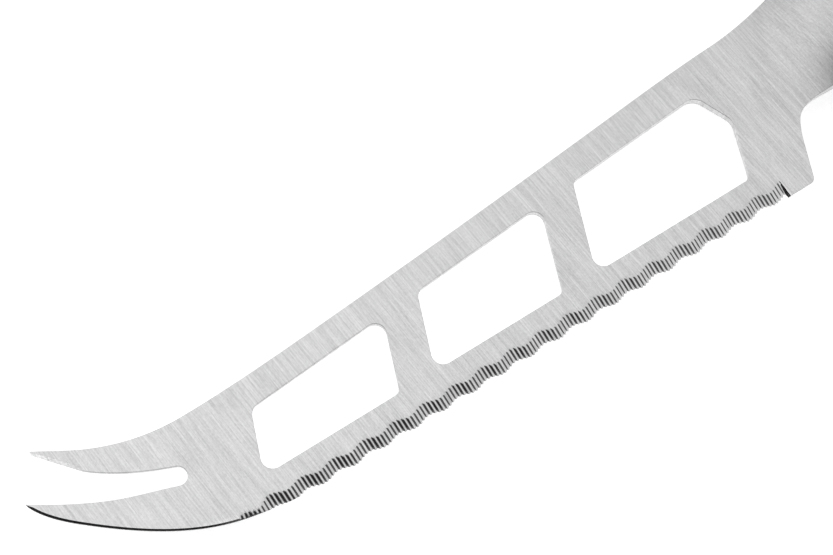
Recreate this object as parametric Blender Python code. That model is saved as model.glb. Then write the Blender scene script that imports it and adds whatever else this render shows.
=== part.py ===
# Cheese knife with a forked tip and three windows in the blade, lying on its side.
# Metres. X runs from the fork to the butt, Y from the edge to the spine, Z out of the ground face.
# The origin is the middle of the lower flat of the handle, on the surface that the knife lies on.

import math

import bmesh
import bpy
import numpy as np
from mathutils import Vector
from mathutils.geometry import interpolate_bezier

# Fork: setbacks run back from the lower tip, heights up from the edge, angles are degrees from the edge line
FORK_LENGTH = 0.0234
LOWER_TIP_HEIGHT = 0.0210
LOWER_TIP_TOP_ANGLE = -34.0
LOWER_TIP_BELLY_ANGLE = -67.0
UPPER_TIP_HEIGHT = 0.0280
UPPER_TIP_SETBACK = 0.0045
UPPER_TIP_ANGLE = -29.0
TINE_SETBACK = 0.0110
LOWER_TINE_HEIGHT = 0.0150
LOWER_TINE_ANGLE = -24.5
UPPER_TINE_HEIGHT = 0.02445
UPPER_TINE_ANGLE = -27.0
CHISEL_LENGTH = 0.0090
CHISEL_ANGLE = -52.0
CHISEL_END_ANGLE = -40.5
SLOT_WIDTH = 0.0031
SLOT_ROOT_HEIGHT = 0.01275
SLOT_ANGLE = -21.0

# Windows, from the fork to the heel
FORK_BRIDGE = 0.0098
WINDOW_LENGTHS = (0.0255, 0.0255, 0.0326)
POST_WIDTH = 0.0068
HEEL_BRIDGE = 0.0098
EDGE_RAIL = 0.0057
SPINE_RAIL_FRONT = 0.0048
SPINE_RAIL_REAR = 0.0056
WINDOW_ANGLE = 69.0
NOSE_RISE = 0.0102
NOSE_ANGLE = 115.0
SHARP_CORNER = 0.0013
SOFT_CORNER = 0.0019
NOSE_CORNER = 0.0028

# Spine, from the waist behind the fork to the neck
WAIST_SETBACK = 0.0270
WAIST_HEIGHT = 0.0206
SWAY_SETBACK = 0.0545
SWAY_RISE = 0.0014
SWAY_ANGLE = 4.4
CREST_LENGTH = 0.0191
CREST_DROP = 0.0015
CREST_ANGLE = 5.6
CREST_LEAD = 0.0011
HEEL_HEIGHT = 0.02927
HEEL_TOP_ANGLE = 3.0

# Belly, heel and choil
BELLY_SETBACK = 0.0062
BELLY_HEIGHT = 0.0136
BELLY_ANGLE = -40.5
BELLY_FLAT_SETBACK = 0.0276
BELLY_FLAT_HEIGHT = 0.0014
BELLY_FLAT_ANGLE = -12.5
BELLY_END = 0.0660
HEEL_DROP = 0.00055
HEEL_ANGLE = 68.0
HEEL_CORNER = 0.0012
HEEL_STRAIGHT = 0.0064
CHOIL_DEPTH = 0.0048
CHOIL_HEIGHT = 0.01005
CHOIL_ANGLE = 52.0
CHOIL_END = 0.0104

# Blade section: a flat grind from the spine down to the edge, thinner towards the fork
EDGE_THICKNESS = 0.0006
SPINE_THICKNESS_FORK = 0.0008
SPINE_THICKNESS_HEEL = 0.0022

# Serrated edge and bevelled belly, ground into one face only
WAVE_PITCH = 0.00569
WAVE_DEPTH = 0.00033
WAVE_LEAD = 0.0002
FLUTES_PER_WAVE = 8
FLUTE_DEPTH = 0.00015
FLUTE_SEGMENTS = 4
GRIND_WIDTH = 0.0020
GRIND_START = 0.0250
EDGE_SAG = 0.00016
EDGE_RISE_TO_HEEL = 0.00018
BELLY_RISE = 0.00118
BELLY_FADE = 0.0110
RUNOUT_LENGTH = 0.0055
RUNOUT_SLOPE = 0.33
UNGROUND_HEEL = 0.0052
END_WALL_SLOPE = 0.9
BEVEL_AT_TIP = 0.00115
BEVEL_AT_GRIND = 0.0002
BEVEL_LAND = 0.00003
CUTTER_DEPTH = 0.0060
CUTTER_REACH = 0.0010

# Neck and handle: lengths run back from the heel
HANDLE_LENGTH = 0.1180
HANDLE_AXIS = 0.0225
HANDLE_THICKNESS = 0.0156
HANDLE_CROWN = 0.0166
NOSE_LEAD = 0.0010
NOSE_INSET = 0.0010
NOSE_HALF_THICKNESS = 0.00045
NECK_LENGTH = 0.0135
NECK_WIDTH = 0.0196
NECK_THICKNESS = 0.0047
NECK_TOP_ANGLE = 14.0
NECK_BOTTOM_ANGLE = -4.0
NECK_FLARE_ANGLE = 16.0
NECK_BOTTOM = 0.01195
SHOULDER_LENGTH = 0.0350
FLARE_LENGTH = 0.0430
FLARE_WIDTH = 0.0234
GRIP_WIDTH = 0.0230
PALM_WIDTH = 0.0244
BUTT_LENGTH = 0.0110
REST_FROM_HEEL = 0.0625
TANG_LENGTH = 0.0130
TANG_TAPER = 0.0045
NECK_SQUARENESS = 4.5
HANDLE_SQUARENESS = 2.4
BUTT_SQUARENESS = 2.2
RING_POINTS = 48
RING_SPACING = 0.0026
BUTT_RINGS = 8

STEEL_COLOUR = (0.60, 0.60, 0.60, 1.0)
STEEL_ROUGHNESS = 0.35
SMOOTH_ANGLE = math.radians(30)
WELD = 0.000001

BLADE_LENGTH = FORK_LENGTH + FORK_BRIDGE + sum(WINDOW_LENGTHS) + 2 * POST_WIDTH + HEEL_BRIDGE
ORIGIN = Vector((BLADE_LENGTH + REST_FROM_HEEL, HANDLE_AXIS, -HANDLE_THICKNESS / 2))


def direction(degrees):
    """Unit vector at an angle from the edge line, turning towards the spine."""
    return Vector((math.cos(math.radians(degrees)), math.sin(math.radians(degrees))))


def flow(nodes, steps):
    """A smooth curve through nodes, each a place and the direction in degrees that the curve has there."""
    points = [Vector(nodes[0][:2])]
    for first, last in zip(nodes, nodes[1:]):
        start = Vector(first[:2])
        end = Vector(last[:2])
        pull = (end - start).length / 3
        handle = start + direction(first[2]) * pull
        arrival = end - direction(last[2]) * pull
        points += interpolate_bezier(start, handle, arrival, end, steps + 1)[1:]
    return [Vector(point[:2]) for point in points]


def rounded(before, corner, after, radius, steps):
    """The arc that rounds the corner between two straight sides."""
    towards = (before - corner).normalized()
    onwards = (after - corner).normalized()
    half = towards.angle(onwards) / 2
    reach = radius / math.tan(half)
    centre = corner + (towards + onwards).normalized() * radius / math.sin(half)
    start = corner + towards * reach - centre
    end = corner + onwards * reach - centre
    sweep = start.angle_signed(end)
    arc = []
    for step in range(steps + 1):
        turn = -sweep * step / steps
        arc.append(centre + Vector((
            start.x * math.cos(turn) - start.y * math.sin(turn),
            start.x * math.sin(turn) + start.y * math.cos(turn),
        )))
    return arc


def crossing(first, first_angle, second, second_angle):
    """Where two lines meet, each given by a point and an angle."""
    a = direction(first_angle)
    b = direction(second_angle)
    gap = second - first
    along = (gap.x * b.y - gap.y * b.x) / (a.x * b.y - a.y * b.x)
    return first + a * along


def height_on(points, length):
    return float(np.interp(length, [p.x for p in points], [p.y for p in points]))


def spine_line():
    sway_height = WAIST_HEIGHT + SWAY_RISE
    crest = BLADE_LENGTH - CREST_LEAD
    return flow([
        (UPPER_TIP_SETBACK, UPPER_TIP_HEIGHT, UPPER_TIP_ANGLE),
        (TINE_SETBACK, UPPER_TINE_HEIGHT, UPPER_TINE_ANGLE),
        (WAIST_SETBACK, WAIST_HEIGHT, 0.0),
        (SWAY_SETBACK, sway_height, SWAY_ANGLE),
        (crest - CREST_LENGTH, HEEL_HEIGHT - CREST_DROP, CREST_ANGLE),
        (crest, HEEL_HEIGHT, HEEL_TOP_ANGLE),
        (BLADE_LENGTH + TANG_LENGTH, NECK_BOTTOM + NECK_WIDTH, NECK_TOP_ANGLE),
    ], 12)


def belly_line():
    return flow([
        (0.0, LOWER_TIP_HEIGHT, LOWER_TIP_BELLY_ANGLE),
        (BELLY_SETBACK, BELLY_HEIGHT, BELLY_ANGLE),
        (BELLY_FLAT_SETBACK, BELLY_FLAT_HEIGHT, BELLY_FLAT_ANGLE),
        (BELLY_END, -HEEL_DROP, 0.0),
    ], 12)


def fork_gap_line():
    """From the lower tip along the lower tine, round the root of the slot and back to the upper tip."""
    radius = SLOT_WIDTH / 2
    root = Vector((FORK_LENGTH - radius, SLOT_ROOT_HEIGHT))
    side = direction(SLOT_ANGLE + 90) * radius
    low = root - side
    high = root + side
    upper_tip = Vector((UPPER_TIP_SETBACK, UPPER_TIP_HEIGHT))
    chisel_end = upper_tip + direction(CHISEL_ANGLE) * CHISEL_LENGTH
    lower = flow([
        (0.0, LOWER_TIP_HEIGHT, LOWER_TIP_TOP_ANGLE),
        (TINE_SETBACK, LOWER_TINE_HEIGHT, LOWER_TINE_ANGLE),
        (low.x, low.y, SLOT_ANGLE),
    ], 10)
    turns = [root + direction(SLOT_ANGLE - 90 + 15 * step) * radius for step in range(1, 12)]
    upper = flow([
        (high.x, high.y, SLOT_ANGLE + 180),
        (chisel_end.x, chisel_end.y, CHISEL_END_ANGLE + 180),
    ], 12)
    return lower[1:] + turns + upper + [upper_tip]


def heel_line():
    """From the serrated edge round the heel and the choil to the lower side of the tang."""
    bottom_start = Vector((BELLY_END, -HEEL_DROP))
    corner = Vector((BLADE_LENGTH, -HEEL_DROP))
    bend = corner + direction(HEEL_ANGLE) * HEEL_STRAIGHT
    choil = flow([
        (bend.x, bend.y, HEEL_ANGLE),
        (BLADE_LENGTH + CHOIL_DEPTH, CHOIL_HEIGHT, CHOIL_ANGLE),
        (BLADE_LENGTH + CHOIL_END, NECK_BOTTOM, 0.0),
    ], 8)
    neck = Vector((BLADE_LENGTH + TANG_LENGTH, NECK_BOTTOM))
    return rounded(bottom_start, corner, bend, HEEL_CORNER, 6) + choil + [neck]


def blade_outline(spine):
    """The plate's outline, round from the lower tip. It ends in a tang that the handle swallows."""
    tang_end = BLADE_LENGTH + TANG_LENGTH + TANG_TAPER
    tang = [
        Vector((tang_end, NECK_BOTTOM + TANG_TAPER)),
        Vector((tang_end, NECK_BOTTOM + NECK_WIDTH - TANG_TAPER)),
    ]
    spine_back = list(reversed(spine))[:-1]
    return belly_line() + heel_line() + tang + spine_back + list(reversed(fork_gap_line()))[:-1]


def window_outlines(spine):
    """The three windows: one floor line, one roof line under the spine, and leaning posts."""
    starts = []
    length = FORK_LENGTH + FORK_BRIDGE
    for window_length in WINDOW_LENGTHS:
        starts.append(length)
        length += window_length + POST_WIDTH
    rear = starts[-1] + WINDOW_LENGTHS[-1]
    lean = 1 / math.tan(math.radians(WINDOW_ANGLE))
    front_top = starts[0] + (WAIST_HEIGHT - SPINE_RAIL_FRONT - EDGE_RAIL) * lean
    roof_front = Vector((front_top, height_on(spine, front_top) - SPINE_RAIL_FRONT))
    roof_rear = Vector((rear, height_on(spine, rear) - SPINE_RAIL_REAR))
    roof_angle = math.degrees(math.atan2(roof_rear.y - roof_front.y, roof_rear.x - roof_front.x))
    outlines = []
    for start, window_length in zip(starts, WINDOW_LENGTHS):
        low_front = Vector((start, EDGE_RAIL))
        low_rear = Vector((start + window_length, EDGE_RAIL))
        high_front = crossing(low_front, WINDOW_ANGLE, roof_front, roof_angle)
        if start == starts[-1]:
            nose = low_rear + direction(WINDOW_ANGLE) * NOSE_RISE / direction(WINDOW_ANGLE).y
            high_rear = crossing(nose, NOSE_ANGLE, roof_front, roof_angle)
            corners = [low_front, low_rear, nose, high_rear, high_front]
            radii = [SOFT_CORNER, SHARP_CORNER, NOSE_CORNER, NOSE_CORNER, SHARP_CORNER]
        else:
            high_rear = crossing(low_rear, WINDOW_ANGLE, roof_front, roof_angle)
            corners = [low_front, low_rear, high_rear, high_front]
            radii = [SOFT_CORNER, SHARP_CORNER, SOFT_CORNER, SOFT_CORNER]
        outline = []
        for index, corner in enumerate(corners):
            after = corners[(index + 1) % len(corners)]
            outline += rounded(corners[index - 1], corner, after, radii[index], 5)
        outlines.append(outline)
    return outlines


def half_thickness(length, height):
    """Half of the blade's thickness: even along the edge, and growing towards the spine and the heel."""
    share = length / BLADE_LENGTH
    spine_thickness = SPINE_THICKNESS_FORK + (SPINE_THICKNESS_HEEL - SPINE_THICKNESS_FORK) * share
    return (EDGE_THICKNESS + (spine_thickness - EDGE_THICKNESS) * height / HEEL_HEIGHT) / 2


def flat_plate(name, loops, half):
    """A flat outline, with holes if there are more loops, as a closed mesh object."""
    curve = bpy.data.curves.new(name, "CURVE")
    curve.dimensions = "2D"
    curve.fill_mode = "BOTH"
    curve.extrude = half
    for loop in loops:
        spline = curve.splines.new("POLY")
        spline.points.add(len(loop) - 1)
        for point, place in zip(spline.points, loop):
            point.co = (place.x, place.y, 0.0, 1.0)
        spline.use_cyclic_u = True
    guide = bpy.data.objects.new(name + "_curve", curve)
    bpy.context.scene.collection.objects.link(guide)
    bpy.context.view_layer.update()
    evaluated = guide.evaluated_get(bpy.context.evaluated_depsgraph_get())
    mesh = bpy.data.meshes.new_from_object(evaluated)
    plate = bpy.data.objects.new(name, mesh)
    plate.matrix_world = guide.matrix_world
    bpy.data.objects.remove(guide)
    bm = bmesh.new()
    bm.from_mesh(mesh)
    bmesh.ops.remove_doubles(bm, verts=bm.verts, dist=WELD)
    bmesh.ops.recalc_face_normals(bm, faces=bm.faces)
    bm.to_mesh(mesh)
    bm.free()
    return plate


def make_blade(spine):
    plate = flat_plate("blade_plate", [blade_outline(spine)] + window_outlines(spine), 1.0)
    for vertex in plate.data.vertices:
        vertex.co.z = math.copysign(half_thickness(vertex.co.x, vertex.co.y), vertex.co.z)
    return plate


def edge_height(length, serration_end):
    """Height of the ground edge: waves and flutes counted from the heel, and a run-out on the belly."""
    back = serration_end - WAVE_LEAD - length
    wave = WAVE_DEPTH * math.cos(2 * math.pi * back / WAVE_PITCH)
    in_flute = (back * FLUTES_PER_WAVE / WAVE_PITCH + 0.5) % 1.0
    flute = FLUTE_DEPTH * (4 * in_flute * (1 - in_flute) - 0.5)
    to_heel = (length - BELLY_END) / (serration_end - BELLY_END)
    mean = EDGE_RISE_TO_HEEL * to_heel - EDGE_SAG
    belly = BELLY_RISE * math.exp((GRIND_START - length) / BELLY_FADE)
    runout = RUNOUT_SLOPE * max(GRIND_START + RUNOUT_LENGTH - length, 0.0)
    return mean + wave + flute + belly - runout


def serration_cutter():
    """The metal that the profiled wheel takes off, as a prism that leans back over the ground face."""
    serration_end = BLADE_LENGTH - UNGROUND_HEEL
    spacing = WAVE_PITCH / FLUTES_PER_WAVE / FLUTE_SEGMENTS
    first = -2 * FLUTE_SEGMENTS
    last = math.floor((serration_end - GRIND_START) / spacing)
    lengths = [serration_end - spacing * step for step in range(first, last + 1)]
    profile = [Vector((length, edge_height(length, serration_end))) for length in lengths]
    depth = Vector((0.0, -CUTTER_DEPTH))
    loop = profile + [profile[-1] + depth, profile[0] + depth]
    cutter = flat_plate("serration_cutter", [loop], CUTTER_REACH)
    back = -EDGE_THICKNESS / 2
    face = half_thickness(serration_end, GRIND_WIDTH)
    slope = GRIND_WIDTH / (face - back)
    for vertex in cutter.data.vertices:
        vertex.co.y += (vertex.co.z - back) * slope
    slant_end(cutter.data, serration_end)
    return cutter


def slant_end(mesh, serration_end):
    """Trims the cutter at the heel with a slanted plane, so that the last flute ends in a sloping wall."""
    bm = bmesh.new()
    bm.from_mesh(mesh)
    trimmed = bmesh.ops.bisect_plane(
        bm,
        geom=bm.verts[:] + bm.edges[:] + bm.faces[:],
        plane_co=(serration_end, 0.0, EDGE_THICKNESS / 2),
        plane_no=(1.0, 0.0, -END_WALL_SLOPE),
        clear_outer=True,
    )
    rim = [part for part in trimmed["geom_cut"] if isinstance(part, bmesh.types.BMEdge)]
    bmesh.ops.edgeloop_fill(bm, edges=rim)
    bmesh.ops.recalc_face_normals(bm, faces=bm.faces)
    bm.to_mesh(mesh)
    bm.free()


def bevel_cutter():
    """The sliver ground off the belly from the lower tip to the start of the serration."""
    belly = [point for point in belly_line() if point.x < GRIND_START + RUNOUT_LENGTH]
    first = belly[0] - direction(LOWER_TIP_BELLY_ANGLE) * CUTTER_REACH
    depth = direction(LOWER_TIP_BELLY_ANGLE - 60) * CUTTER_DEPTH
    loop = [first] + belly + [belly[-1] + depth, first + depth]
    cutter = flat_plate("bevel_cutter", [loop], CUTTER_REACH)
    back = BEVEL_LAND - EDGE_THICKNESS / 2
    for vertex in cutter.data.vertices:
        share = min(max(1 - vertex.co.x / GRIND_START, 0.0), 1.0)
        rise = BEVEL_AT_GRIND + (BEVEL_AT_TIP - BEVEL_AT_GRIND) * share ** 3
        vertex.co.y += rise * (vertex.co.z - back) / EDGE_THICKNESS
    return cutter


def handle_profiles():
    """The handle's upper edge, lower edge and half thickness along its length."""
    nose = BLADE_LENGTH + NOSE_LEAD
    neck = BLADE_LENGTH + NECK_LENGTH
    shoulder = BLADE_LENGTH + SHOULDER_LENGTH
    flare = BLADE_LENGTH + FLARE_LENGTH
    grip = BLADE_LENGTH + REST_FROM_HEEL
    butt = BLADE_LENGTH + HANDLE_LENGTH
    palm = butt - BUTT_LENGTH
    upper = flow([
        (nose, HEEL_HEIGHT - NOSE_INSET, HEEL_TOP_ANGLE),
        (neck, NECK_BOTTOM + NECK_WIDTH, NECK_TOP_ANGLE),
        (shoulder, HANDLE_AXIS + FLARE_WIDTH / 2, 0.0),
        (grip, HANDLE_AXIS + GRIP_WIDTH / 2, 0.0),
        (palm, HANDLE_AXIS + PALM_WIDTH / 2, 0.0),
        (butt, HANDLE_AXIS + PALM_WIDTH / 2, 0.0),
    ], 10)
    lower = flow([
        (nose, NECK_BOTTOM + NOSE_INSET, 0.0),
        (neck, NECK_BOTTOM, NECK_BOTTOM_ANGLE),
        (flare, HANDLE_AXIS - FLARE_WIDTH / 2, 0.0),
        (grip, HANDLE_AXIS - GRIP_WIDTH / 2, 0.0),
        (palm, HANDLE_AXIS - PALM_WIDTH / 2, 0.0),
        (butt, HANDLE_AXIS - PALM_WIDTH / 2, 0.0),
    ], 10)
    thickness = flow([
        (nose, NOSE_HALF_THICKNESS, 0.0),
        (neck, NECK_THICKNESS / 2, NECK_FLARE_ANGLE),
        (flare, HANDLE_CROWN / 2, 0.0),
        (butt, HANDLE_CROWN / 2, 0.0),
    ], 10)
    return upper, lower, thickness


def ring(length, upper, lower, half, squareness, scale):
    """One section of the handle: a superellipse, cut flat where the knife lies on it."""
    flat = HANDLE_THICKNESS / 2
    centre = (upper + lower) / 2
    half_width = (upper - lower) / 2 * scale
    points = []
    for index in range(RING_POINTS):
        angle = 2 * math.pi * (index + 0.5) / RING_POINTS
        across = math.copysign(abs(math.cos(angle)) ** (2 / squareness), math.cos(angle))
        up = math.copysign(abs(math.sin(angle)) ** (2 / squareness), math.sin(angle))
        points.append((length, centre + half_width * across, min(max(half * scale * up, -flat), flat)))
    return points


def make_handle():
    """The neck and handle, lofted from a thin nose inside the blade to the rounded butt."""
    upper, lower, thickness = handle_profiles()
    nose = BLADE_LENGTH + NOSE_LEAD
    butt = BLADE_LENGTH + HANDLE_LENGTH
    palm = butt - BUTT_LENGTH
    straight = max(round((palm - nose) / RING_SPACING), 8)
    lengths = list(np.linspace(nose, palm, straight + 1))
    lengths += [
        palm + BUTT_LENGTH * math.sin(math.pi / 2 * step / BUTT_RINGS) for step in range(1, BUTT_RINGS)
    ]
    bm = bmesh.new()
    rings = []
    for length in lengths:
        rounding = max(length - palm, 0.0) / BUTT_LENGTH
        scale = (1 - rounding ** BUTT_SQUARENESS) ** (1 / BUTT_SQUARENESS)
        settle = min((length - nose) / FLARE_LENGTH, 1.0)
        squareness = NECK_SQUARENESS + (HANDLE_SQUARENESS - NECK_SQUARENESS) * settle * (2 - settle)
        section = ring(
            length,
            height_on(upper, length),
            height_on(lower, length),
            height_on(thickness, length),
            squareness,
            scale,
        )
        rings.append([bm.verts.new(point) for point in section])
    for first, second in zip(rings, rings[1:]):
        for index in range(RING_POINTS):
            after = (index + 1) % RING_POINTS
            bm.faces.new((first[index], first[after], second[after], second[index]))
    bm.faces.new(rings[0])
    end = bm.verts.new((butt, HANDLE_AXIS, 0.0))
    for index in range(RING_POINTS):
        bm.faces.new((rings[-1][index], rings[-1][(index + 1) % RING_POINTS], end))
    bmesh.ops.recalc_face_normals(bm, faces=bm.faces)
    mesh = bpy.data.meshes.new("handle_body")
    bm.to_mesh(mesh)
    bm.free()
    return bpy.data.objects.new("handle_body", mesh)


def add_boolean(target, other, operation):
    modifier = target.modifiers.new(other.name, "BOOLEAN")
    modifier.operation = operation
    modifier.solver = "EXACT"
    modifier.object = other


def steel_material():
    material = bpy.data.materials.new("brushed_steel")
    material.use_nodes = True
    shader = material.node_tree.nodes["Principled BSDF"]
    shader.inputs["Base Color"].default_value = STEEL_COLOUR
    shader.inputs["Metallic"].default_value = 1.0
    shader.inputs["Roughness"].default_value = STEEL_ROUGHNESS
    return material


def new_collection(name):
    collection = bpy.data.collections.new(name)
    bpy.context.scene.collection.children.link(collection)
    return collection


def main():
    for obj in list(bpy.data.objects):
        bpy.data.objects.remove(obj)
    knife_parts = new_collection("cheese_knife_parts")
    tools = new_collection("tools")

    spine = spine_line()
    knife = make_blade(spine)
    knife.name = "cheese_knife"
    wheel = serration_cutter()
    stone = bevel_cutter()
    handle = make_handle()
    knife_parts.objects.link(knife)
    for helper in (wheel, stone, handle):
        tools.objects.link(helper)
        helper.hide_render = True
        helper.display_type = "WIRE"
    for shape in (knife, wheel, stone, handle):
        for vertex in shape.data.vertices:
            vertex.co -= ORIGIN
    add_boolean(knife, stone, "DIFFERENCE")
    add_boolean(knife, wheel, "DIFFERENCE")
    add_boolean(knife, handle, "UNION")
    knife.data.materials.append(steel_material())
    knife.data.shade_smooth()
    knife.data.set_sharp_from_angle(angle=SMOOTH_ANGLE)


main()
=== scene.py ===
import math

import bpy
import numpy as np
from mathutils import Matrix, Vector
from mathutils.geometry import delaunay_2d_cdt


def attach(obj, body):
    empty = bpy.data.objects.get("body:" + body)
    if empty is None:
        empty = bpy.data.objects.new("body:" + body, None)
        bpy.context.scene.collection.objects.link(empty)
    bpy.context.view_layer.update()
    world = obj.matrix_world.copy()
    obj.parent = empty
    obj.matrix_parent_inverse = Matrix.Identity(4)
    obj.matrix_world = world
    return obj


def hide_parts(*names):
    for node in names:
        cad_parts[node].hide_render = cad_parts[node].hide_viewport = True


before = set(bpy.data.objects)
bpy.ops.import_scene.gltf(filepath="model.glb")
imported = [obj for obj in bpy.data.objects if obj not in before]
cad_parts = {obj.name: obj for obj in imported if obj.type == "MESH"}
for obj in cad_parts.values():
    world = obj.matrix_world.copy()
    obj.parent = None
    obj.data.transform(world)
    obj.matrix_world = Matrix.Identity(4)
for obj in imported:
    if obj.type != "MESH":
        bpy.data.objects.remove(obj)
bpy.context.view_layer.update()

# Cheese knife with a forked tip and three windows in the blade, lying on its side on a lit white table.
# Lengths are in millimetres and angles in degrees: x runs back from the lower tip, h up from the edge line to
# the spine, and z out of the ground face. The last step turns them into the frame's metres.

# Curves and lines

def direction(degrees):
    # the unit vector at an angle from the edge line
    return np.array([math.cos(math.radians(degrees)), math.sin(math.radians(degrees))])


def flow(nodes, steps=24):
    # cubic curves through the nodes: each handle points along its node's angle and is a third of the span
    nodes = np.array(nodes, float)
    share = np.linspace(0, 1, steps, endpoint=False)[None, :, None]
    turn = np.radians(nodes[:, 2])
    way = np.stack([np.cos(turn), np.sin(turn)], 1)[:, None, :]
    start = nodes[:-1, None, :2]
    end = nodes[1:, None, :2]
    pull = np.linalg.norm(end - start, axis=2, keepdims=True) / 3
    first = start + way[:-1] * pull
    second = end - way[1:] * pull
    curve = (1 - share) ** 3 * start + 3 * (1 - share) ** 2 * share * first
    curve = curve + 3 * (1 - share) * share ** 2 * second + share ** 3 * end
    return np.vstack([curve.reshape(-1, 2), nodes[-1:, :2]])


def evenly(points, spacing):
    # the same line with points at even distances along it
    reach = np.concatenate([[0], np.cumsum(np.linalg.norm(np.diff(points, axis=0), axis=1))])
    count = max(int(round(reach[-1] / spacing)), 2)
    along = np.linspace(0, reach[-1], count + 1)
    return np.stack([np.interp(along, reach, points[:, 0]), np.interp(along, reach, points[:, 1])], 1)


def roundedCorners(corners, radii, steps=8):
    # each corner of a closed shape becomes an arc that touches both of its sides
    corners = np.array(corners, float)
    radii = np.array(radii, float)[:, None]
    towards = np.roll(corners, 1, 0) - corners
    onwards = np.roll(corners, -1, 0) - corners
    towards /= np.linalg.norm(towards, axis=1, keepdims=True)
    onwards /= np.linalg.norm(onwards, axis=1, keepdims=True)
    half = np.arccos((towards * onwards).sum(1, keepdims=True)) / 2
    middle = (towards + onwards) / np.linalg.norm(towards + onwards, axis=1, keepdims=True)
    centre = corners + middle * radii / np.sin(half)
    start = corners + towards * radii / np.tan(half) - centre
    side = -middle * radii                                   # from the centre to the arc's middle
    across = start - side * np.sin(half)
    across /= np.linalg.norm(across, axis=1, keepdims=True)
    sweep = np.linspace(1, -1, steps + 1)[None, :, None] * (np.pi / 2 - half)[:, None, :]
    arc = np.cos(sweep) * side[:, None, :] + np.sin(sweep) * (across * radii)[:, None, :]
    return (centre[:, None, :] + arc).reshape(-1, 2)


def inward(points, closed):
    # unit vectors to the left of the way the line runs, where the metal is
    if closed:
        step = np.roll(points, -1, 0) - np.roll(points, 1, 0)
    else:
        step = np.gradient(points, axis=0)
    step = step / np.linalg.norm(step, axis=1, keepdims=True)
    return np.stack([-step[:, 1], step[:, 0]], 1)


def meeting(start, way, other, otherWay):
    # how far along the first line the two lines meet
    gap = other - start
    return (gap[0] * otherWay[1] - gap[1] * otherWay[0]) / (way[0] * otherWay[1] - way[1] * otherWay[0])


def heightOn(line, x):
    # the line's second value at x, by straight steps between its points
    order = np.argsort(line[:, 0], kind="stable")
    return np.interp(x, line[order, 0], line[order, 1])


def smoothStep(value, low, high):
    # 0 below low, 1 above high, and three squares less two cubes of the share between them
    share = np.clip((value - low) / (high - low), 0, 1)
    return share * share * (3 - 2 * share)


# Thickness of the plate, the neck and the handle

plate = {
    "edge": 0.6, "spineAtFork": 0.8, "spineAtHeel": 2.2,     # thickness
    "height": 29.27, "length": 140.2, "rear": 150.0,         # where the thickness stops growing
    "edgeRound": 0.10, "bladeRound": 0.07, "roundFrom": (138.0, 146.0), "sharpAngle": 33.0,
}

spine = [                                                    # x, h and direction
    (27.0, 20.6, 0.0), (54.5, 22.0, 4.4), (120.0, 27.77, 5.6), (139.1, 29.27, 3.0), (153.2, 31.55, 14.0),
]

handle = {
    "join": 150.6, "palm": 247.2, "butt": 258.2, "axis": 22.5,
    "upper": [
        (153.2, 31.55, 14.0), (175.2, 34.2, 0.0), (202.7, 34.0, 0.0),
        (247.2, 34.67, 0.0), (258.2, 34.67, 0.0),
    ],
    "lower": [
        (150.6, 11.95, 0.0), (183.2, 10.8, 0.0), (202.7, 11.0, 0.0),
        (247.2, 10.33, 0.0), (258.2, 10.33, 0.0),
    ],
    "half": [(141.2, 0.45, 0.0), (153.7, 2.35, 16.0), (183.2, 8.3, 0.0), (258.2, 8.3, 0.0)],
    "wall": [(141.2, 0.30, 2.0), (154.0, 1.32, 8.0), (170.0, 3.4, 0.0), (258.2, 3.6, 0.0)],
    "dive": (142.5, 0.6),                                    # the x and slope of the fall below the plate
    "blend": 0.1, "fuller": 0.4, "fullerFrom": (150.0, 185.0),              # how the crown fills out
    "flat": 7.8, "flatSoftness": 0.16,
    "squareness": (4.5, 2.4), "settle": (141.2, 43.0), "buttSquareness": 2.2, "roundFrom": (151.0, 180.0),
    "rings": 84, "buttRings": 16, "acrossPoints": 41,
}

upperLine = np.vstack([flow(spine)[:-1], flow(handle["upper"])])
lowerLine = flow(handle["lower"])
halfLine = flow(handle["half"])
wallLine = flow(handle["wall"])


def spineThickness(x):
    # grows evenly from the fork to the heel
    return plate["spineAtFork"] + (plate["spineAtHeel"] - plate["spineAtFork"]) * x / plate["length"]


def plateHalf(x, h):
    # half of the flat grind: even along the edge, and growing evenly from there to the spine
    return (plate["edge"] + (spineThickness(x) - plate["edge"]) * h / plate["height"]) / 2


def faceHeight(x, h):
    # height of the upper face: the larger of the plate and of the swelling neck, run together softly; the
    # neck is its side wall and a crown over it that falls to nothing at both sides
    top = heightOn(upperLine, x)
    low = heightOn(lowerLine, x)
    across = np.clip(np.abs(2 * h - top - low) / (top - low), 0, 1)
    wall = heightOn(wallLine, x)
    half = heightOn(halfLine, x)
    crown = (1 - across ** 2.0) ** (1 - handle["fuller"] * smoothStep(x, *handle["fullerFrom"]))
    diveEnd, diveSlope = handle["dive"]
    neck = wall + (half - wall) * crown - diveSlope * np.maximum(diveEnd - x, 0)
    thin = plateHalf(np.minimum(x, plate["rear"]), h)
    apart = np.sqrt((thin - neck) ** 2 + handle["blend"] ** 2)
    return (thin + neck + apart) / 2 - handle["blend"] ** 2 / (4 * apart)


# Outlines of the blade and its windows

fork = {
    "lowerTip": (0.02, 21.2), "lowerTopAngle": -34.0, "lowerTine": (11.0, 15.0, -24.5),
    "upperTip": (4.5, 28.15), "upperTipAngle": -29.0, "upperTine": (11.0, 24.45, -27.0),
    "upperTipEnd": (-0.06, -0.5),                            # the blunt end of the upper tip
    "chiselLength": 9.0, "chiselAngle": -52.0, "chiselEndAngle": -40.5,
    "chiselBevel": 0.50, "chiselFade": 1.2, "coarseFade": (2.0, 9.0, 0.7),
    "tineLength": 14.0, "slotRoot": (21.85, 12.75), "slotWidth": 3.1, "slotAngle": -21.0,
}

belly = [(0.1, 20.7, -65.0), (6.2, 13.6, -40.5), (27.6, 1.4, -12.5), (66.0, -0.55, 0.0)]

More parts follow.
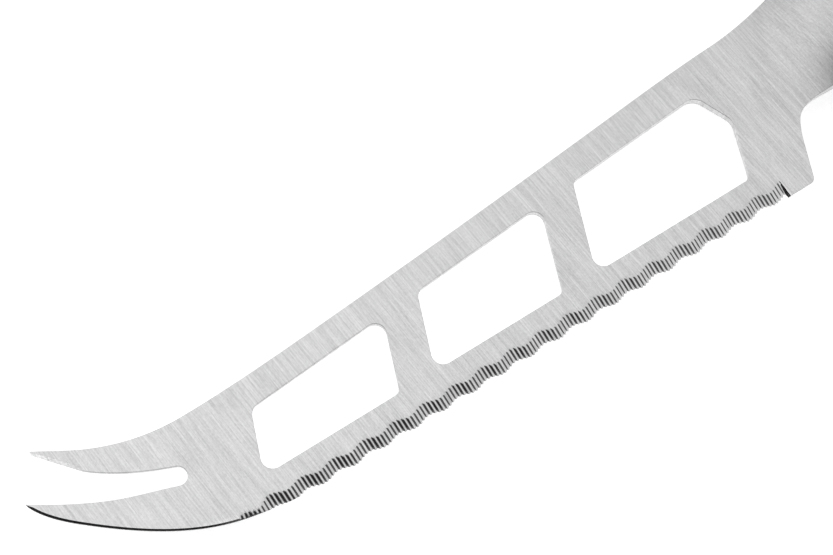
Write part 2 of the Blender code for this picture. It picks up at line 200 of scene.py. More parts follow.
heel = {
    "corner": (140.2, -0.55), "cornerRadius": 1.2, "angle": 68.0, "straight": 6.4,
    "choil": (145.0, 10.05, 52.0), "choilEnd": (150.6, 11.95, 0.0),
}

windows = {
    "starts": (33.2, 65.5, 97.8), "lengths": (25.5, 25.5, 32.6), "floor": 5.7,
    "roofFront": (37.022, 15.93), "roofRear": (130.4, 22.99), "lean": 69.0,
    "noseRise": 10.2, "noseAngle": 115.0,
    "radii": (1.9, 1.3, 1.9, 1.9), "lastRadii": (1.9, 1.3, 2.8, 2.8, 1.3),
}

serration = {
    "start": 25.0, "end": 135.0, "cutFrom": 23.0, "lead": 0.2,
    "wavePitch": 5.69, "waveDepth": 0.33, "flutesPerWave": 8, "columnsPerFlute": 8,
    "fluteDepth": 0.29, "fluteSharpness": 0.95, "fluteSkew": -0.12, "slope": 3.063,
    "lean": -0.05, "leanFrom": (24.0, 33.0), "leanTo": 137.0, "fadeOut": (135.2, 137.6),
    "sag": 0.16, "riseToHeel": 0.18, "bellyRise": 1.18, "bellyFade": 11.0,
    "runoutDepth": 0.52, "runoutEnd": (29.8, 31.8), "runoutStart": 27.8, "runoutSlope": 0.27,
    "endWallFoot": 134.46, "endWallSlope": 0.6, "endWallColumns": 7,
    "bevelAtTip": 0.38, "bevelAtStart": 0.29, "bevelSteepness": 0.9,
}

spacing = {
    "outline": 0.30, "slot": 0.24, "bend": 0.25, "tines": 0.03,
    "clear": 0.03,                                           # between the last flute and the end wall
    "neck": 0.75, "neckFrom": 136.0, "neckHeights": (3.4, 32.0), "neckClear": 0.35, "joinClear": 0.25,
}


def forkLine():
    # from the upper tip along its chiselled side, round the slot and out to the lower tip
    tip = np.array(fork["upperTip"])
    root = np.array(fork["slotRoot"])
    side = direction(fork["slotAngle"] + 90) * fork["slotWidth"] / 2
    chiselEnd = tip + direction(fork["chiselAngle"]) * fork["chiselLength"]
    overSlot = flow([(*chiselEnd, fork["chiselEndAngle"]), (*(root + side), fork["slotAngle"])])
    turn = np.radians(fork["slotAngle"] + 90 - np.linspace(0, 180, 17)[1:-1])[:, None]
    bottom = root + np.hstack([np.cos(turn), np.sin(turn)]) * fork["slotWidth"] / 2
    underSlot = flow([
        (*fork["lowerTip"], fork["lowerTopAngle"]), fork["lowerTine"], (*(root - side), fork["slotAngle"]),
    ])[::-1]
    return np.vstack([tip[None], (tip + fork["upperTipEnd"])[None], overSlot, bottom, underSlot])


def cutColumns():
    # x of the points along the serration: even shares of a flute, then the end wall
    perFlute = serration["wavePitch"] / serration["flutesPerWave"] / serration["columnsPerFlute"]
    end = serration["endWallFoot"]
    count = int((end - serration["start"] - spacing["clear"]) / perFlute)
    flutes = end - spacing["clear"] - perFlute * np.arange(count, -1, -1)
    wall = end + np.linspace(0.05, serration["endWallSlope"], serration["endWallColumns"])
    return np.concatenate([flutes, wall])


def bladeOutline():
    # five lines, anticlockwise: spine, fork, belly, serration, and the heel with the choil
    top = flow([(*fork["upperTip"], fork["upperTipAngle"]), fork["upperTine"]] + spine)
    top = top[top[:, 0] < handle["join"] - 0.05]
    top = np.vstack([top, [handle["join"], heightOn(upperLine, handle["join"])]])[::-1]
    low = np.vstack([[fork["lowerTip"]], flow(belly, 200)])
    low[:, 1] = np.maximum(low[:, 1], belly[-1][1])
    low = np.vstack([low, [plate["rear"], low[-1, 1]]])
    cut = cutColumns()
    corner = np.array(heel["corner"])
    ahead = (cut[-1] + 0.1, corner[1])
    bend = corner + direction(heel["angle"]) * heel["straight"]
    arcs = roundedCorners([ahead, corner, bend], (0.01, heel["cornerRadius"], 0.01))
    turned = arcs.reshape(3, -1, 2)[1]
    choil = flow([(*bend, heel["angle"]), heel["choil"], heel["choilEnd"]])
    return [
        evenly(top, spacing["outline"])[:-1],
        evenly(forkLine(), spacing["slot"])[:-1],
        evenly(low[low[:, 0] < cut[0] - 0.1], spacing["outline"]),
        np.stack([cut, heightOn(low, cut)], 1),
        evenly(np.vstack([ahead, turned, choil]), spacing["bend"]),
    ]


def windowOutlines():
    # leaning posts between one straight floor and one straight roof; the last window has a nose at the heel
    lean = direction(windows["lean"])
    front = np.array(windows["roofFront"])
    roof = np.array(windows["roofRear"]) - front
    loops = []
    for start, length in zip(windows["starts"], windows["lengths"]):
        lowFront = np.array([start, windows["floor"]])
        lowRear = lowFront + (length, 0)
        last = start == windows["starts"][-1]
        rear = lowRear + lean * windows["noseRise"] / lean[1] if last else lowRear
        rearWay = direction(windows["noseAngle"]) if last else lean
        frontTop = front + roof * meeting(front, roof, lowFront, lean)
        rearTop = front + roof * meeting(front, roof, rear, rearWay)
        nose = [rear] if last else []
        corners = [lowFront, lowRear] + nose + [rearTop, frontTop]
        loop = roundedCorners(corners, windows["lastRadii"] if last else windows["radii"])
        loops.append(evenly(np.vstack([loop, loop[:1]]), spacing["bend"])[:-1][::-1])
    return loops


# Edge strips: a profile carried along each outline, from the lower face round the edge to the upper face

strip = {
    "lowerRows": 4, "upperRows": 11, "turn": (22.5, 45.0, 67.5, 90.0),
    "flatShares": (0.12, 0.3, 0.5, 0.7, 0.85, 1.0),
    "windowInset": 0.35, "bladeInset": 0.4,                  # how far the rows reach in
    "groundInset": (0.6, 2.9), "backInset": (0.4, 1.3), "insetGrowth": (19.0, 26.0),
    "least": 0.004, "roundShare": 0.17, "groundShare": 0.48, "bevelShare": 0.5, "chiselShare": 0.4,
}
groundRows = slice(4, 13)
signs = np.repeat([-1.0, 1.0], [strip["lowerRows"], strip["upperRows"]])
turns = np.radians(strip["turn"])


def stitch(inset):
    # every other point of the innermost row steps in a little, so that no three points lie on one line
    return np.minimum(0.02, 0.15 * inset) * (np.arange(len(inset)) % 2)


def roundDrop(radius):
    # how far each row lies within the faces: a coarse quarter circle below and a fine one above
    none = radius * 0
    low = np.stack([none, none, radius * 0.29, radius, radius], 1)
    return np.hstack([low, radius[:, None] * (1 - np.sin(turns)), np.zeros((len(radius), 6))])


def plainProfile(line, way, radius, inset, bevel=0.0):
    # a quarter circle at each corner of the edge, then flat rows; a bevel moves the upper corner in
    inset = inset + stitch(inset)
    bevel = np.zeros(len(line)) + bevel
    lowOffset = np.stack([inset, radius, radius * 0.29, radius * 0, bevel], 1)
    upOffset = bevel[:, None] + radius[:, None] * (1 - np.cos(turns))
    flatRun = (inset - bevel - radius)[:, None] * np.array(strip["flatShares"])
    offset = np.hstack([lowOffset, upOffset, (bevel + radius)[:, None] + flatRun])
    place = line[:, None, :] + way[:, None, :] * offset[:, :, None]
    return place, signs * (faceHeight(place[..., 0], place[..., 1]) - roundDrop(radius))


def groundEdge(x):
    # h where the grinding reaches the back of the blade: waves and flutes counted from the heel, a rise over
    # the belly, and less where the wheel first touches; a flute is the arcsine of a cosine, a rounded V
    back = serration["end"] - serration["lead"] - x
    wave = serration["waveDepth"] * np.cos(2 * np.pi * back / serration["wavePitch"])
    around = 2 * np.pi * back * serration["flutesPerWave"] / serration["wavePitch"]
    around = around + serration["fluteSkew"] * (1 - np.cos(around))
    sharp = serration["fluteSharpness"]
    flute = serration["fluteDepth"] / 2 * np.arcsin(sharp * np.cos(around)) / math.asin(sharp)
    level = belly[-1][0]                                     # where the belly has run out into the edge line
    mean = serration["riseToHeel"] * (x - level) / (serration["end"] - level) - serration["sag"]
    rise = serration["bellyRise"] * np.exp((serration["start"] - x) / serration["bellyFade"])
    runout = serration["runoutDepth"] * (1 - smoothStep(x, *serration["runoutEnd"]))
    runout = runout + serration["runoutSlope"] * np.maximum(serration["runoutStart"] - x, 0)
    return mean + wave + flute + rise - runout


def bevelWidth(x, room):
    # narrow at the serration, wider by the square of the distance towards the tip, and never past the tine
    growth = np.clip(1 - x / serration["start"], 0, 1) ** 2
    bevel = serration["bevelAtStart"] + (serration["bevelAtTip"] - serration["bevelAtStart"]) * growth
    return np.minimum(bevel, strip["least"] + strip["bevelShare"] * room)


def groundProfile(line, way, room):
    # rows up the ground face: the wheel leaves a slope from the back of the blade to the upper face, and in
    # front of it a narrow bevel runs on to the tip; each row lies on the lowest of face, slope and bevel
    x = line[:, 0]
    face = faceHeight(x, line[:, 1])
    steep = serration["bevelSteepness"]
    bevel = bevelWidth(x, room)
    grow = (spineThickness(x) - plate["edge"]) / (2 * plate["height"])
    edge = groundEdge(x)
    upper = (edge + serration["slope"] * plate["edge"]) / (1 - serration["slope"] * grow)
    inCut = x > serration["cutFrom"]
    cut = np.where(inCut, edge - line[:, 1], -9.0)           # far outside the blade where nothing is cut
    cutTop = np.where(inCut, upper - line[:, 1], -8.0)
    rise = 2 * face / (cutTop - cut)
    back = -plate["edge"] / 2
    endWall = (x - serration["endWallFoot"]) / serration["endWallSlope"] + back
    foot = np.where(endWall > back, 0, np.maximum(cut, 0))
    meet = (steep * bevel - 2 * face - cut * rise) / (steep - rise)         # where slope and bevel cross
    meet = np.where(inCut & (cutTop > bevel), np.clip(meet, 0, bevel), bevel)
    first = np.maximum(meet, foot + np.minimum(0.02, 0.002 + 0.1 * room))
    end = np.maximum(cutTop, first + np.minimum(0.05, 0.001 + 0.03 * room))
    close = np.minimum(0.012, 0.2 * np.minimum(first - foot, end - first))  # a pair of rows at each fold
    run = end - first
    rows = np.stack([
        foot + 0.25 * (first - foot), first - close, first + close, first + 0.33 * run, first + 0.62 * run,
        first + 0.88 * run - close, end - 1.2 * close, end + 0.8 * close,
    ], 1)
    most = strip["least"] + strip["groundShare"] * room
    growth = smoothStep(x, *strip["insetGrowth"])
    inset = np.minimum(strip["groundInset"][0] + strip["groundInset"][1] * growth, most)
    lowInset = np.minimum(strip["backInset"][0] + strip["backInset"][1] * growth, most)
    inset = np.maximum(inset, rows[:, -1] + 0.003) + stitch(inset)
    lowInset = lowInset + stitch(lowInset)
    offset = np.hstack([
        np.stack([np.maximum(lowInset, foot + 0.015), foot + 0.01, foot + 0.004, foot, foot], 1),
        rows,
        (rows[:, -1] + 0.25 * (inset - rows[:, -1]))[:, None],
        inset[:, None],
    ])
    place = line[:, None, :] + way[:, None, :] * offset[:, :, None]
    z = faceHeight(place[..., 0], place[..., 1])
    across = offset[:, groundRows]
    slope = np.where(inCut[:, None], (across - cut[:, None]) * rise[:, None] - face[:, None], 9.0)
    land = np.where(across < bevel[:, None], face[:, None] - steep * (bevel[:, None] - across), 9.0)
    ground = np.maximum(np.minimum(slope, land), endWall[:, None])
    thinnest = 0.04 - z[:, 3:4]
    z[:, groundRows] = np.minimum(np.maximum(ground, thinnest), z[:, groundRows])
    z = z * signs
    z[:, 2] += 0.006
    z[:, 3] += 0.02
    return place, z


def tipRoom(line, counts):
    # how far each outline point is from the other side of its tine
    ends = zip(counts[:3], counts[1:4])
    top, gap, low = (evenly(line[start:end + 1], spacing["tines"]) for start, end in ends)
    tips = line[None, (counts[1], counts[2])]
    room = np.full(len(line), 9.0)
    for number, others in enumerate(([gap], [top, low], [gap])):
        start, end = counts[number], counts[number + 1]
        for other in others:
            near = other[np.linalg.norm(other[:, None] - tips, axis=2).min(1) < fork["tineLength"]]
            apart = np.linalg.norm(line[start:end, None] - near[None], axis=2).min(1)
            room[start:end] = np.minimum(room[start:end], apart)
    return room


def bladeStrip():
    # the strip round the blade, and how ground and how coarse each of its points is
    pieces = bladeOutline()
    line = np.vstack(pieces)
    x = line[:, 0]
    counts = np.cumsum([0] + [len(piece) for piece in pieces])
    reach = np.concatenate([[0], np.cumsum(np.linalg.norm(np.diff(line, axis=0), axis=1))])
    tip = np.minimum(np.abs(reach - reach[counts[1]]), np.abs(reach - reach[counts[2]]))
    index = np.arange(len(line))
    lowSide = index >= counts[2]

    # rows run straight in, but lean with the flutes along the serration
    way = inward(line, False)
    way[0] = (0, -1)
    way[-1] = (0, 1)
    upright = smoothStep(x, *serration["leanFrom"]) * (lowSide & (x < serration["leanTo"]))
    way = way * (1 - upright)[:, None] + np.array([serration["lean"], 1]) * upright[:, None]
    way /= np.linalg.norm(way, axis=1, keepdims=True)

    # a plain edge, with the upper tip's underside chiselled off
    room = tipRoom(line, counts)
    inset = np.minimum(strip["bladeInset"], strip["least"] + strip["roundShare"] * room)
    radius = plate["edgeRound"] - plate["bladeRound"]
    radius = plate["bladeRound"] + radius * smoothStep(x, *plate["roundFrom"])
    radius = np.minimum(radius, 0.45 * inset)
    chisel = smoothStep(fork["chiselLength"] + reach[counts[1]] - reach, 0, fork["chiselFade"])
    chisel = (index >= counts[1]) * chisel
    bevel = chisel * np.minimum(fork["chiselBevel"], strip["chiselShare"] * room)
    radius = np.where(chisel > 0, np.minimum(radius, 0.02), radius)
    inset = np.maximum(inset, bevel + 1.2 * radius + 0.002)
    place, z = plainProfile(line, way, radius, inset, bevel)

    # the ground edge takes over along the belly and the serration, and fades out before the heel
    cutPlace, cutZ = groundProfile(line, way, room)
    ground = np.where(lowSide, 1 - smoothStep(x, *serration["fadeOut"]), 0)
    ground = np.where(lowSide & (index < counts[4]), 1.0, ground)
    place = place * (1 - ground)[:, None, None] + cutPlace * ground[:, None, None]
    z = z * (1 - ground)[:, None] + cutZ * ground[:, None]
    row = np.arange(z.shape[1])
    groundMask = ground[:, None] * ((row >= groundRows.start) & (row < groundRows.stop))
    fadeFrom, fadeTo, fade = fork["coarseFade"]
    coarse = chisel * (1 - fade * smoothStep(tip, fadeFrom, fadeTo))
    coarseMask = coarse[:, None] * ((row > 2) & (row < 7))   # the chiselled rows
    return np.dstack([place, z]), groundMask, coarseMask


def windowStrips():
    # a plain rounded edge round each window
    strips = []
    for loop in windowOutlines():
        radius = np.full(len(loop), plate["edgeRound"])
        inset = np.full(len(loop), strip["windowInset"])
        strips.append(np.dstack(plainProfile(loop, inward(loop, True), radius, inset)))
    return strips


# The knife: strips, the two faces between them, and the handle's sections, in one closed mesh

placing = {
    "scale": 0.001,
    "origin": (202.7, 22.5, -7.8),                           # the frame's origin in the knife's own lengths
}


def stripQuads(points, base, closed):
    # quads between neighbouring columns and rows of a strip
    rows = points.shape[1]
    along = np.arange(len(points) if closed else len(points) - 1)[:, None]
    near = base + along * rows + np.arange(rows - 1)[None, :]
    far = base + (along + 1) % len(points) * rows + np.arange(rows - 1)[None, :]
    return np.stack([near, far, far + 1, near + 1], 2).reshape(-1, 4)


def fillPoints(flat, edges):
    # points for the inside of a face, in the neck where the steel swells, and none where the plate is flat
    step = spacing["neck"]
    end = handle["join"] - spacing["joinClear"]
    gridX, gridH = np.meshgrid(
        np.arange(spacing["neckFrom"], end, step), np.arange(*spacing["neckHeights"], step),
    )
    gridX = gridX + (np.arange(gridX.shape[0]) % 2)[:, None] * step / 2
    points = np.stack([gridX.ravel(), gridH.ravel()], 1)
    points = points[points[:, 0] < end]
    gap = np.linalg.norm(points[:, None, :] - flat[None, :, :], axis=2).min(1)
    clear = gap > spacing["neckClear"]
    return points[clear & insideOf(points, flat[edges[:, 0]], flat[edges[:, 1]])]


def insideOf(points, starts, ends):
    # in the metal: a line from the point towards the handle crosses the outlines an odd number of times
    x, h = points[:, 0, None], points[:, 1, None]
    astride = (starts[:, 1] > h) != (ends[:, 1] > h)
    rise = np.where(ends[:, 1] == starts[:, 1], 1.0, ends[:, 1] - starts[:, 1])
    crossing = starts[:, 0] + (ends[:, 0] - starts[:, 0]) * (h - starts[:, 1]) / rise
    return (astride & (crossing > x)).sum(1) % 2 == 1


def coverFace(known, loops, side):
    # triangles between the outline and the windows, with points of their own in the neck
    ids = np.concatenate(loops)
    edges = []
    first = 0
    for loop in loops:
        turn = np.arange(len(loop))
        edges.append(np.stack([first + turn, first + (turn + 1) % len(loop)], 1))
        first += len(loop)
    edges = np.vstack(edges)
    rim = known[ids][:, :2]
    inner = fillPoints(rim, edges)
    flat = np.vstack([rim, inner])
    found = delaunay_2d_cdt([Vector(point) for point in flat], edges.tolist(), [], 0, 1e-7, True)
    origins = np.array([origin[0] for origin in found[3]])
    corners = origins[np.array(found[2])]
    corners = corners[insideOf(flat[corners].mean(1), rim[edges[:, 0]], rim[edges[:, 1]])]
    faces = np.concatenate([ids, len(known) + np.arange(len(inner))])[corners]
    print("face", side, "has", len(faces), "triangles and", len(inner), "inner points")
    inside = np.column_stack([inner, side * faceHeight(inner[:, 0], inner[:, 1])])
    return faces if side > 0 else faces[:, ::-1], inside


def crispSection(x, share, insets):
    # the blade's own section: rounded corners, side walls and the crowned faces
    upper = heightOn(upperLine, x)
    lower = heightOn(lowerLine, x)
    drop = roundDrop(np.array([plate["edgeRound"]]))
    lowH = lower + insets[None, :]
    topH = upper - insets[None, :]
    lowZ = signs * (faceHeight(x + 0 * lowH, lowH) - drop)
    topZ = signs * (faceHeight(x + 0 * topH, topH) - drop)
    midH = (upper + lower) / 2 + ((upper - lower) / 2 - insets[-1]) * share[None, :]
    midZ = faceHeight(x + 0 * midH, midH)
    h = np.hstack([lowH, midH, topH[:, ::-1], midH[:, ::-1]])
    return h, np.hstack([lowZ, midZ, topZ[:, ::-1], -midZ[:, ::-1]])


def roundSection(x, rows, share, inset):
    # a superellipse, less square towards the palm, that shrinks to nothing over the butt by another
    upper = heightOn(upperLine, x)
    lower = heightOn(lowerLine, x)
    half = heightOn(halfLine, x)
    centre = (upper + lower) / 2
    width = (upper - lower) / 2
    settleStart, settleLength = handle["settle"]
    settle = np.clip((x - settleStart) / settleLength, 0, 1)
    squareAtNeck, squareAtPalm = handle["squareness"]
    square = squareAtNeck + (squareAtPalm - squareAtNeck) * settle * (2 - settle)
    rounding = np.clip((x - handle["palm"]) / (handle["butt"] - handle["palm"]), 0, 1)
    shrink = (1 - rounding ** handle["buttSquareness"]) ** (1 / handle["buttSquareness"])
    sideAngle = np.linspace(-1, 1, rows)[None, :] * np.arccos((1 - inset / width) ** (square / 2))
    middle = (width - inset) / width * np.abs(share[None, :])
    midAngle = np.arcsin(np.clip(np.abs(1 - middle ** square), 0, 1) ** 0.5)
    lowH = centre - width * shrink * np.cos(sideAngle) ** (2 / square)
    topH = centre + width * shrink * np.cos(sideAngle) ** (2 / square)
    sideZ = half * shrink * np.sign(sideAngle) * np.abs(np.sin(sideAngle)) ** (2 / square)
    midH = centre + width * shrink * (width - inset) / width * share[None, :]
    midZ = half * shrink * np.sin(midAngle) ** (2 / square)
    h = np.hstack([lowH, midH, topH[:, ::-1], midH[:, ::-1]])
    return h, np.hstack([sideZ, midZ, sideZ[:, ::-1], -midZ[:, ::-1]])


def handleRings(share, insets):
    # sections from the join to the butt: crisp ones turn into round ones, and both sides are ground flat
    straight = np.linspace(handle["join"], handle["palm"], handle["rings"] + 1)[1:]
    turn = np.linspace(0, np.pi / 2, handle["buttRings"] + 1)[1:-1]
    butt = handle["palm"] + (handle["butt"] - handle["palm"]) * np.sin(turn)
    x = np.concatenate([straight, butt])[:, None]
    crispH, crispZ = crispSection(x, share, insets)
    roundH, roundZ = roundSection(x, len(insets), share, insets[-1])
    mix = smoothStep(x, *handle["roundFrom"])
    h = crispH * (1 - mix) + roundH * mix
    z = crispZ * (1 - mix) + roundZ * mix
    spare = handle["flat"] - np.abs(z)
    ground = handle["flat"] - (spare + np.sqrt(spare ** 2 + handle["flatSoftness"] ** 2)) / 2
    z = np.sign(z) * np.where(mix > 0.5, ground, np.abs(z))
    return np.dstack([x + 0 * h, h, z])


def makeKnife():
    blade, groundMask, coarseMask = bladeStrip()
    strips = [blade] + windowStrips()
    rows = blade.shape[1]
    vertices = [points.reshape(-1, 3) for points in strips]
    starts = np.cumsum([0] + [len(part) for part in vertices])
    quads = [stripQuads(points, starts[number], number > 0) for number, points in enumerate(strips)]
    print("edge strips made")

    # points across the neck where the blade meets the handle, for the upper and the lower face
    share = np.sin(np.linspace(-np.pi / 2, np.pi / 2, handle["acrossPoints"] + 2)[1:-1])
    low, top = blade[-1, -1, 1], blade[0, -1, 1]
    h = (low + top) / 2 + (top - low) / 2 * share
    x = np.full(len(h), handle["join"])
    z = faceHeight(x, h)
    upperAcross = starts[-1] + np.arange(len(h))
    lowerAcross = upperAcross + len(h)
    vertices += [np.stack([x, h, z], 1), np.stack([x, h, -z], 1)]

    triangles = []
    for side, row, across in ((1, rows - 1, upperAcross), (-1, 0, lowerAcross)):
        loops = [start + np.arange(len(points)) * rows + row for start, points in zip(starts, strips)]
        loops[0] = np.concatenate([loops[0], across])
        faces, inside = coverFace(np.vstack(vertices), loops, side)
        triangles.append(faces)
        vertices.append(inside)

    # the handle's sections, closed by a pole at the butt
    total = sum(len(part) for part in vertices)
    lastColumn = (len(blade) - 1) * rows + np.arange(rows)
    firstColumn = np.arange(rows)[::-1]
    ring = np.concatenate([lastColumn, upperAcross, firstColumn, lowerAcross[::-1]])
    rings = handleRings(share, blade[-1, :, 1] - blade[-1, 3, 1])
    ringIds = np.vstack([ring, total + np.arange(rings[..., 0].size).reshape(-1, len(ring))])
    vertices += [rings.reshape(-1, 3), np.array([[handle["butt"], handle["axis"], 0.0]])]
    near, far = ringIds[:-1], ringIds[1:]
    quads.append(np.stack([near, far, np.roll(far, -1, 1), np.roll(near, -1, 1)], 2).reshape(-1, 4))
    end = ringIds[-1]
    pole = np.full(len(ring), total + rings[..., 0].size)
    triangles.append(np.stack([end, pole, np.roll(end, -1)], 1))
    print("handle made")

    every = (np.vstack(vertices) - np.array(placing["origin"])) * placing["scale"]
    mesh = bpy.data.meshes.new("knife")
    mesh.from_pydata(every, [], np.vstack(quads).tolist() + np.vstack(triangles).tolist())
    mesh.validate()
    for name, mask in (("ground", groundMask), ("coarse", coarseMask)):
        values = np.zeros(len(every), np.float32)
        values[:mask.size] = mask.ravel()
        mesh.attributes.new(name, "FLOAT", "POINT").data.foreach_set("value", values)
    mesh.shade_smooth()
    mesh.set_sharp_from_angle(angle=math.radians(plate["sharpAngle"]))      # keeps the ground faces crisp
    knife = bpy.data.objects.new("knife", mesh)
    bpy.context.scene.collection.objects.link(knife)
    print("knife has", len(every), "points and", len(mesh.polygons), "faces")
    return knife


# Brushed steel

steel = {
    "colour": (0.635, 0.634, 0.637), "roughness": 0.30, "groundRoughness": 0.16, "bandRoughness": 0.10,
    "grainAngle": 6.0, "neckGrainAngle": 22.0,               # from square across the blade
    "neck": (-0.062, -0.047), "paintedNeckShade": -0.17,            # the frame's x where the neck's finish sets in, and a painted shade that darkens the neck's tone
    "hairlines": (5200.0, 170.0, 3.0), "hairlineTone": (0.72, -0.15),       # tone, and its change on the neck
    "bands": (1500.0, 60.0, 2.0), "bandTone": (0.36, -0.22),
    "polish": (120.0, 60.0, 2.0), "polishTone": 0.10,
    "pits": (4200.0, 2600.0, 2.0), "pitTone": (0.42, 1.0),                  # tone, and its change when coarse
    "neckHairlines": (6000.0, 240.0, 2.0), "neckHairlineTone": 0.30,
    "coarseTone": 0.12, "bump": 0.25, "bumpDepth": 0.00002,
}


def grainGroup():
    # streaks about zero: noise that changes fast across the grain and slowly along it, less its mean
    group = bpy.data.node_groups.new("brushedGrain", "ShaderNodeTree")
    group.interface.new_socket(name="Vector", in_out="INPUT", socket_type="NodeSocketVector")
    for name in ("Across", "Along", "Detail"):
        group.interface.new_socket(name=name, in_out="INPUT", socket_type="NodeSocketFloat")
    group.interface.new_socket(name="Streaks", in_out="OUTPUT", socket_type="NodeSocketFloat")
    nodes = group.nodes
    links = group.links
    given = nodes.new("NodeGroupInput")
    result = nodes.new("NodeGroupOutput")
    squeeze = nodes.new("ShaderNodeCombineXYZ")
    links.new(given.outputs["Across"], squeeze.inputs["X"])
    links.new(given.outputs["Along"], squeeze.inputs["Y"])
    links.new(given.outputs["Along"], squeeze.inputs["Z"])
    scaled = nodes.new("ShaderNodeVectorMath")
    scaled.operation = "MULTIPLY"
    links.new(given.outputs["Vector"], scaled.inputs[0])
    links.new(squeeze.outputs[0], scaled.inputs[1])
    noise = nodes.new("ShaderNodeTexNoise")
    noise.inputs["Scale"].default_value = 1.0
    noise.inputs["Roughness"].default_value = 0.6
    links.new(scaled.outputs[0], noise.inputs["Vector"])
    links.new(given.outputs["Detail"], noise.inputs["Detail"])
    centred = nodes.new("ShaderNodeMath")
    centred.operation = "SUBTRACT"
    centred.inputs[1].default_value = 0.5
    links.new(noise.outputs["Fac"], centred.inputs[0])
    links.new(centred.outputs[0], result.inputs["Streaks"])
    return group


def steelMaterial(grain):
    # the colour times a tone, which is the sum of the streaks at their strengths, lowered over the neck by a
    # painted shade; the ground edge is smoother
    material = bpy.data.materials.new("brushedSteel")
    material.use_nodes = True
    nodes = material.node_tree.nodes
    links = material.node_tree.links
    shader = nodes["Principled BSDF"]
    shader.inputs["Metallic"].default_value = 1.0
    where = nodes.new("ShaderNodeTexCoord")

    def worked(operation, *values):
        node = nodes.new("ShaderNodeMath")
        node.operation = operation
        for socket, value in zip(node.inputs, values):
            if isinstance(value, float):
                socket.default_value = value
            else:
                links.new(value, socket)
        return node.outputs[0]

    def turnedBy(degrees):
        turned = nodes.new("ShaderNodeMapping")
        turned.inputs["Rotation"].default_value = (0, 0, math.radians(-degrees))
        links.new(where.outputs["Object"], turned.inputs["Vector"])
        return turned.outputs[0]

    def streaks(vector, across, along, detail):
        node = nodes.new("ShaderNodeGroup")
        node.node_tree = grain
        node.inputs["Across"].default_value = across
        node.inputs["Along"].default_value = along
        node.inputs["Detail"].default_value = detail
        links.new(vector, node.inputs["Vector"])
        return node.outputs["Streaks"]

    def mask(name):
        node = nodes.new("ShaderNodeAttribute")
        node.attribute_name = name
        return node.outputs["Fac"]

    def changing(over, amounts):
        # the first amount, and the second one added by the mask
        return worked("MULTIPLY_ADD", over, amounts[1], amounts[0])

    along = turnedBy(steel["grainAngle"])
    hairlines = streaks(along, *steel["hairlines"])
    bands = streaks(along, *steel["bands"])
    polish = streaks(along, *steel["polish"])
    pits = streaks(along, *steel["pits"])
    neckHairlines = streaks(turnedBy(steel["neckGrainAngle"]), *steel["neckHairlines"])
    split = nodes.new("ShaderNodeSeparateXYZ")
    links.new(where.outputs["Object"], split.inputs[0])
    neckRange = nodes.new("ShaderNodeMapRange")
    neckRange.interpolation_type = "SMOOTHSTEP"
    neckRange.inputs["From Min"].default_value = steel["neck"][0]
    neckRange.inputs["From Max"].default_value = steel["neck"][1]
    links.new(split.outputs["X"], neckRange.inputs["Value"])
    onNeck = neckRange.outputs[0]
    coarse = mask("coarse")

    # the tone starts at one and is lowered over the neck by a painted shade, where the neck curves away from
    # the light
    tone = worked("MULTIPLY_ADD", polish, steel["polishTone"], changing(onNeck, (1.0, steel["paintedNeckShade"])))
    tone = worked("MULTIPLY_ADD", hairlines, changing(onNeck, steel["hairlineTone"]), tone)
    tone = worked("MULTIPLY_ADD", bands, changing(onNeck, steel["bandTone"]), tone)
    tone = worked("MULTIPLY_ADD", pits, changing(coarse, steel["pitTone"]), tone)
    onlyNeck = worked("MULTIPLY", onNeck, steel["neckHairlineTone"])
    tone = worked("MULTIPLY_ADD", neckHairlines, onlyNeck, tone)
    tone = worked("MULTIPLY_ADD", coarse, steel["coarseTone"], tone)
    colour = nodes.new("ShaderNodeVectorMath")
    colour.operation = "SCALE"
    colour.inputs[0].default_value = steel["colour"]
    links.new(tone, colour.inputs["Scale"])
    links.new(colour.outputs[0], shader.inputs["Base Color"])

    smoother = steel["groundRoughness"] - steel["roughness"]
    rough = worked("MULTIPLY_ADD", bands, steel["bandRoughness"], steel["roughness"])
    links.new(worked("MULTIPLY_ADD", mask("ground"), smoother, rough), shader.inputs["Roughness"])
    bump = nodes.new("ShaderNodeBump")
    bump.inputs["Strength"].default_value = steel["bump"]
    bump.inputs["Distance"].default_value = steel["bumpDepth"]
    links.new(worked("ADD", hairlines, bands), bump.inputs["Height"])
    links.new(bump.outputs["Normal"], shader.inputs["Normal"])
    return material


# Table, light and camera

studio = {
    "surroundings": 0.93, "seen": 1.0,
    "lamp": (120.0, 78.0, 0.0, 32.0, 1.22),                  # azimuth, height, inner and outer angle, level
    "darkSides": [
        (245.0, 47.0, 35.0, 45.5, 0.13), (208.0, 20.0, 42.0, 56.0, 0.02), (335.0, 3.0, 10.0, 20.0, 0.10),
    ],
    "aboveAll": 2.0,                                         # a level that never counts beside a darker one
    "tableReach": 3.0, "tableTone": 0.9, "tableGlow": 0.6,
}


def makeTable():
    mesh = bpy.data.meshes.new("table")
    reach = studio["tableReach"]
    corners = [(-reach, -reach, 0), (reach, -reach, 0), (reach, reach, 0), (-reach, reach, 0)]
    mesh.from_pydata(corners, [], [(0, 1, 2, 3)])
    table = bpy.data.objects.new("table", mesh)
    bpy.context.scene.collection.objects.link(table)
    paper = bpy.data.materials.new("litWhite")
    paper.use_nodes = True
    shader = paper.node_tree.nodes["Principled BSDF"]
    shader.inputs["Roughness"].default_value = 0.9
    shader.inputs["Base Color"].default_value = (*[studio["tableTone"]] * 3, 1)
    shader.inputs["Emission Color"].default_value = (1, 1, 1, 1)
    shader.inputs["Emission Strength"].default_value = studio["tableGlow"]
    mesh.materials.append(paper)


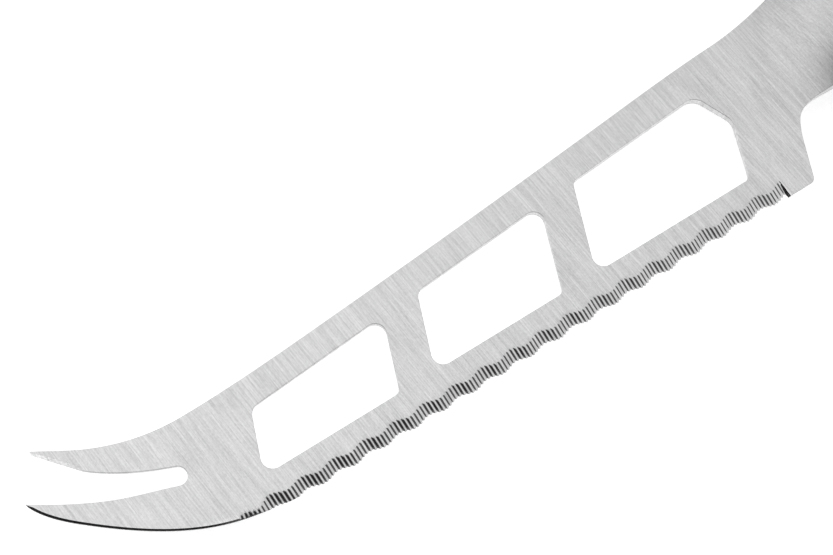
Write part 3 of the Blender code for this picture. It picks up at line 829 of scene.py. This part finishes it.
def makeLight():
    # a white room with a brighter lamp and darker sides; the camera itself sees plain white
    scene = bpy.context.scene
    scene.view_settings.view_transform = "Standard"
    scene.world = bpy.data.worlds.new("studio")
    scene.world.use_nodes = True
    nodes = scene.world.node_tree.nodes
    links = scene.world.node_tree.links
    where = nodes.new("ShaderNodeTexCoord")

    def sideOfRoom(azimuth, height, inner, outer, level, around):
        # the light from one side: its level within the inner angle, and the one around it beyond the outer
        turn, rise = math.radians(azimuth), math.radians(height)
        toward = nodes.new("ShaderNodeVectorMath")
        toward.operation = "DOT_PRODUCT"
        toward.inputs[1].default_value = (
            math.cos(turn) * math.cos(rise), math.sin(turn) * math.cos(rise), math.sin(rise),
        )
        links.new(where.outputs["Generated"], toward.inputs[0])
        ramp = nodes.new("ShaderNodeMapRange")
        ramp.interpolation_type = "SMOOTHSTEP"
        ramp.inputs["From Min"].default_value = math.cos(math.radians(outer))
        ramp.inputs["From Max"].default_value = math.cos(math.radians(inner))
        ramp.inputs["To Min"].default_value = around
        ramp.inputs["To Max"].default_value = level
        links.new(toward.outputs["Value"], ramp.inputs["Value"])
        return ramp.outputs[0]

    level = sideOfRoom(*studio["lamp"], studio["surroundings"])
    for dark in studio["darkSides"]:
        darker = nodes.new("ShaderNodeMath")
        darker.operation = "MINIMUM"
        links.new(level, darker.inputs[0])
        links.new(sideOfRoom(*dark, studio["aboveAll"]), darker.inputs[1])
        level = darker.outputs[0]
    ray = nodes.new("ShaderNodeLightPath")
    shown = nodes.new("ShaderNodeMix")
    links.new(ray.outputs["Is Camera Ray"], shown.inputs["Factor"])
    links.new(level, shown.inputs["A"])
    shown.inputs["B"].default_value = studio["seen"]
    background = nodes["Background"]
    links.new(shown.outputs["Result"], background.inputs["Strength"])
    background.inputs["Color"].default_value = (1, 1, 1, 1)


view = {                                                     # in the frame's metres, as the photo was taken
    "place": (-0.205677, -0.064238, 0.275344),
    "right": (0.830177, -0.547661, 0.104298),
    "up": (0.491757, 0.807482, 0.325811),
    "back": (-0.262653, -0.219193, 0.939664),
    "lens": 75.0, "sensor": 36.0, "nearest": 0.01,
}


def makeCamera():
    data = bpy.data.cameras.new("camera")
    data.lens = view["lens"]
    data.sensor_width = view["sensor"]
    data.clip_start = view["nearest"]
    camera = bpy.data.objects.new("camera", data)
    axes = Matrix([view["right"], view["up"], view["back"]]).transposed()
    camera.matrix_world = Matrix.Translation(view["place"]) @ axes.to_4x4()
    bpy.context.scene.collection.objects.link(camera)
    bpy.context.scene.camera = camera


makeCamera()
print("camera set")
knife = makeKnife()
knife.data.materials.append(steelMaterial(grainGroup()))
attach(knife, "root")
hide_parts("cheese_knife")
print("knife made")
makeTable()
makeLight()
print("studio lit")
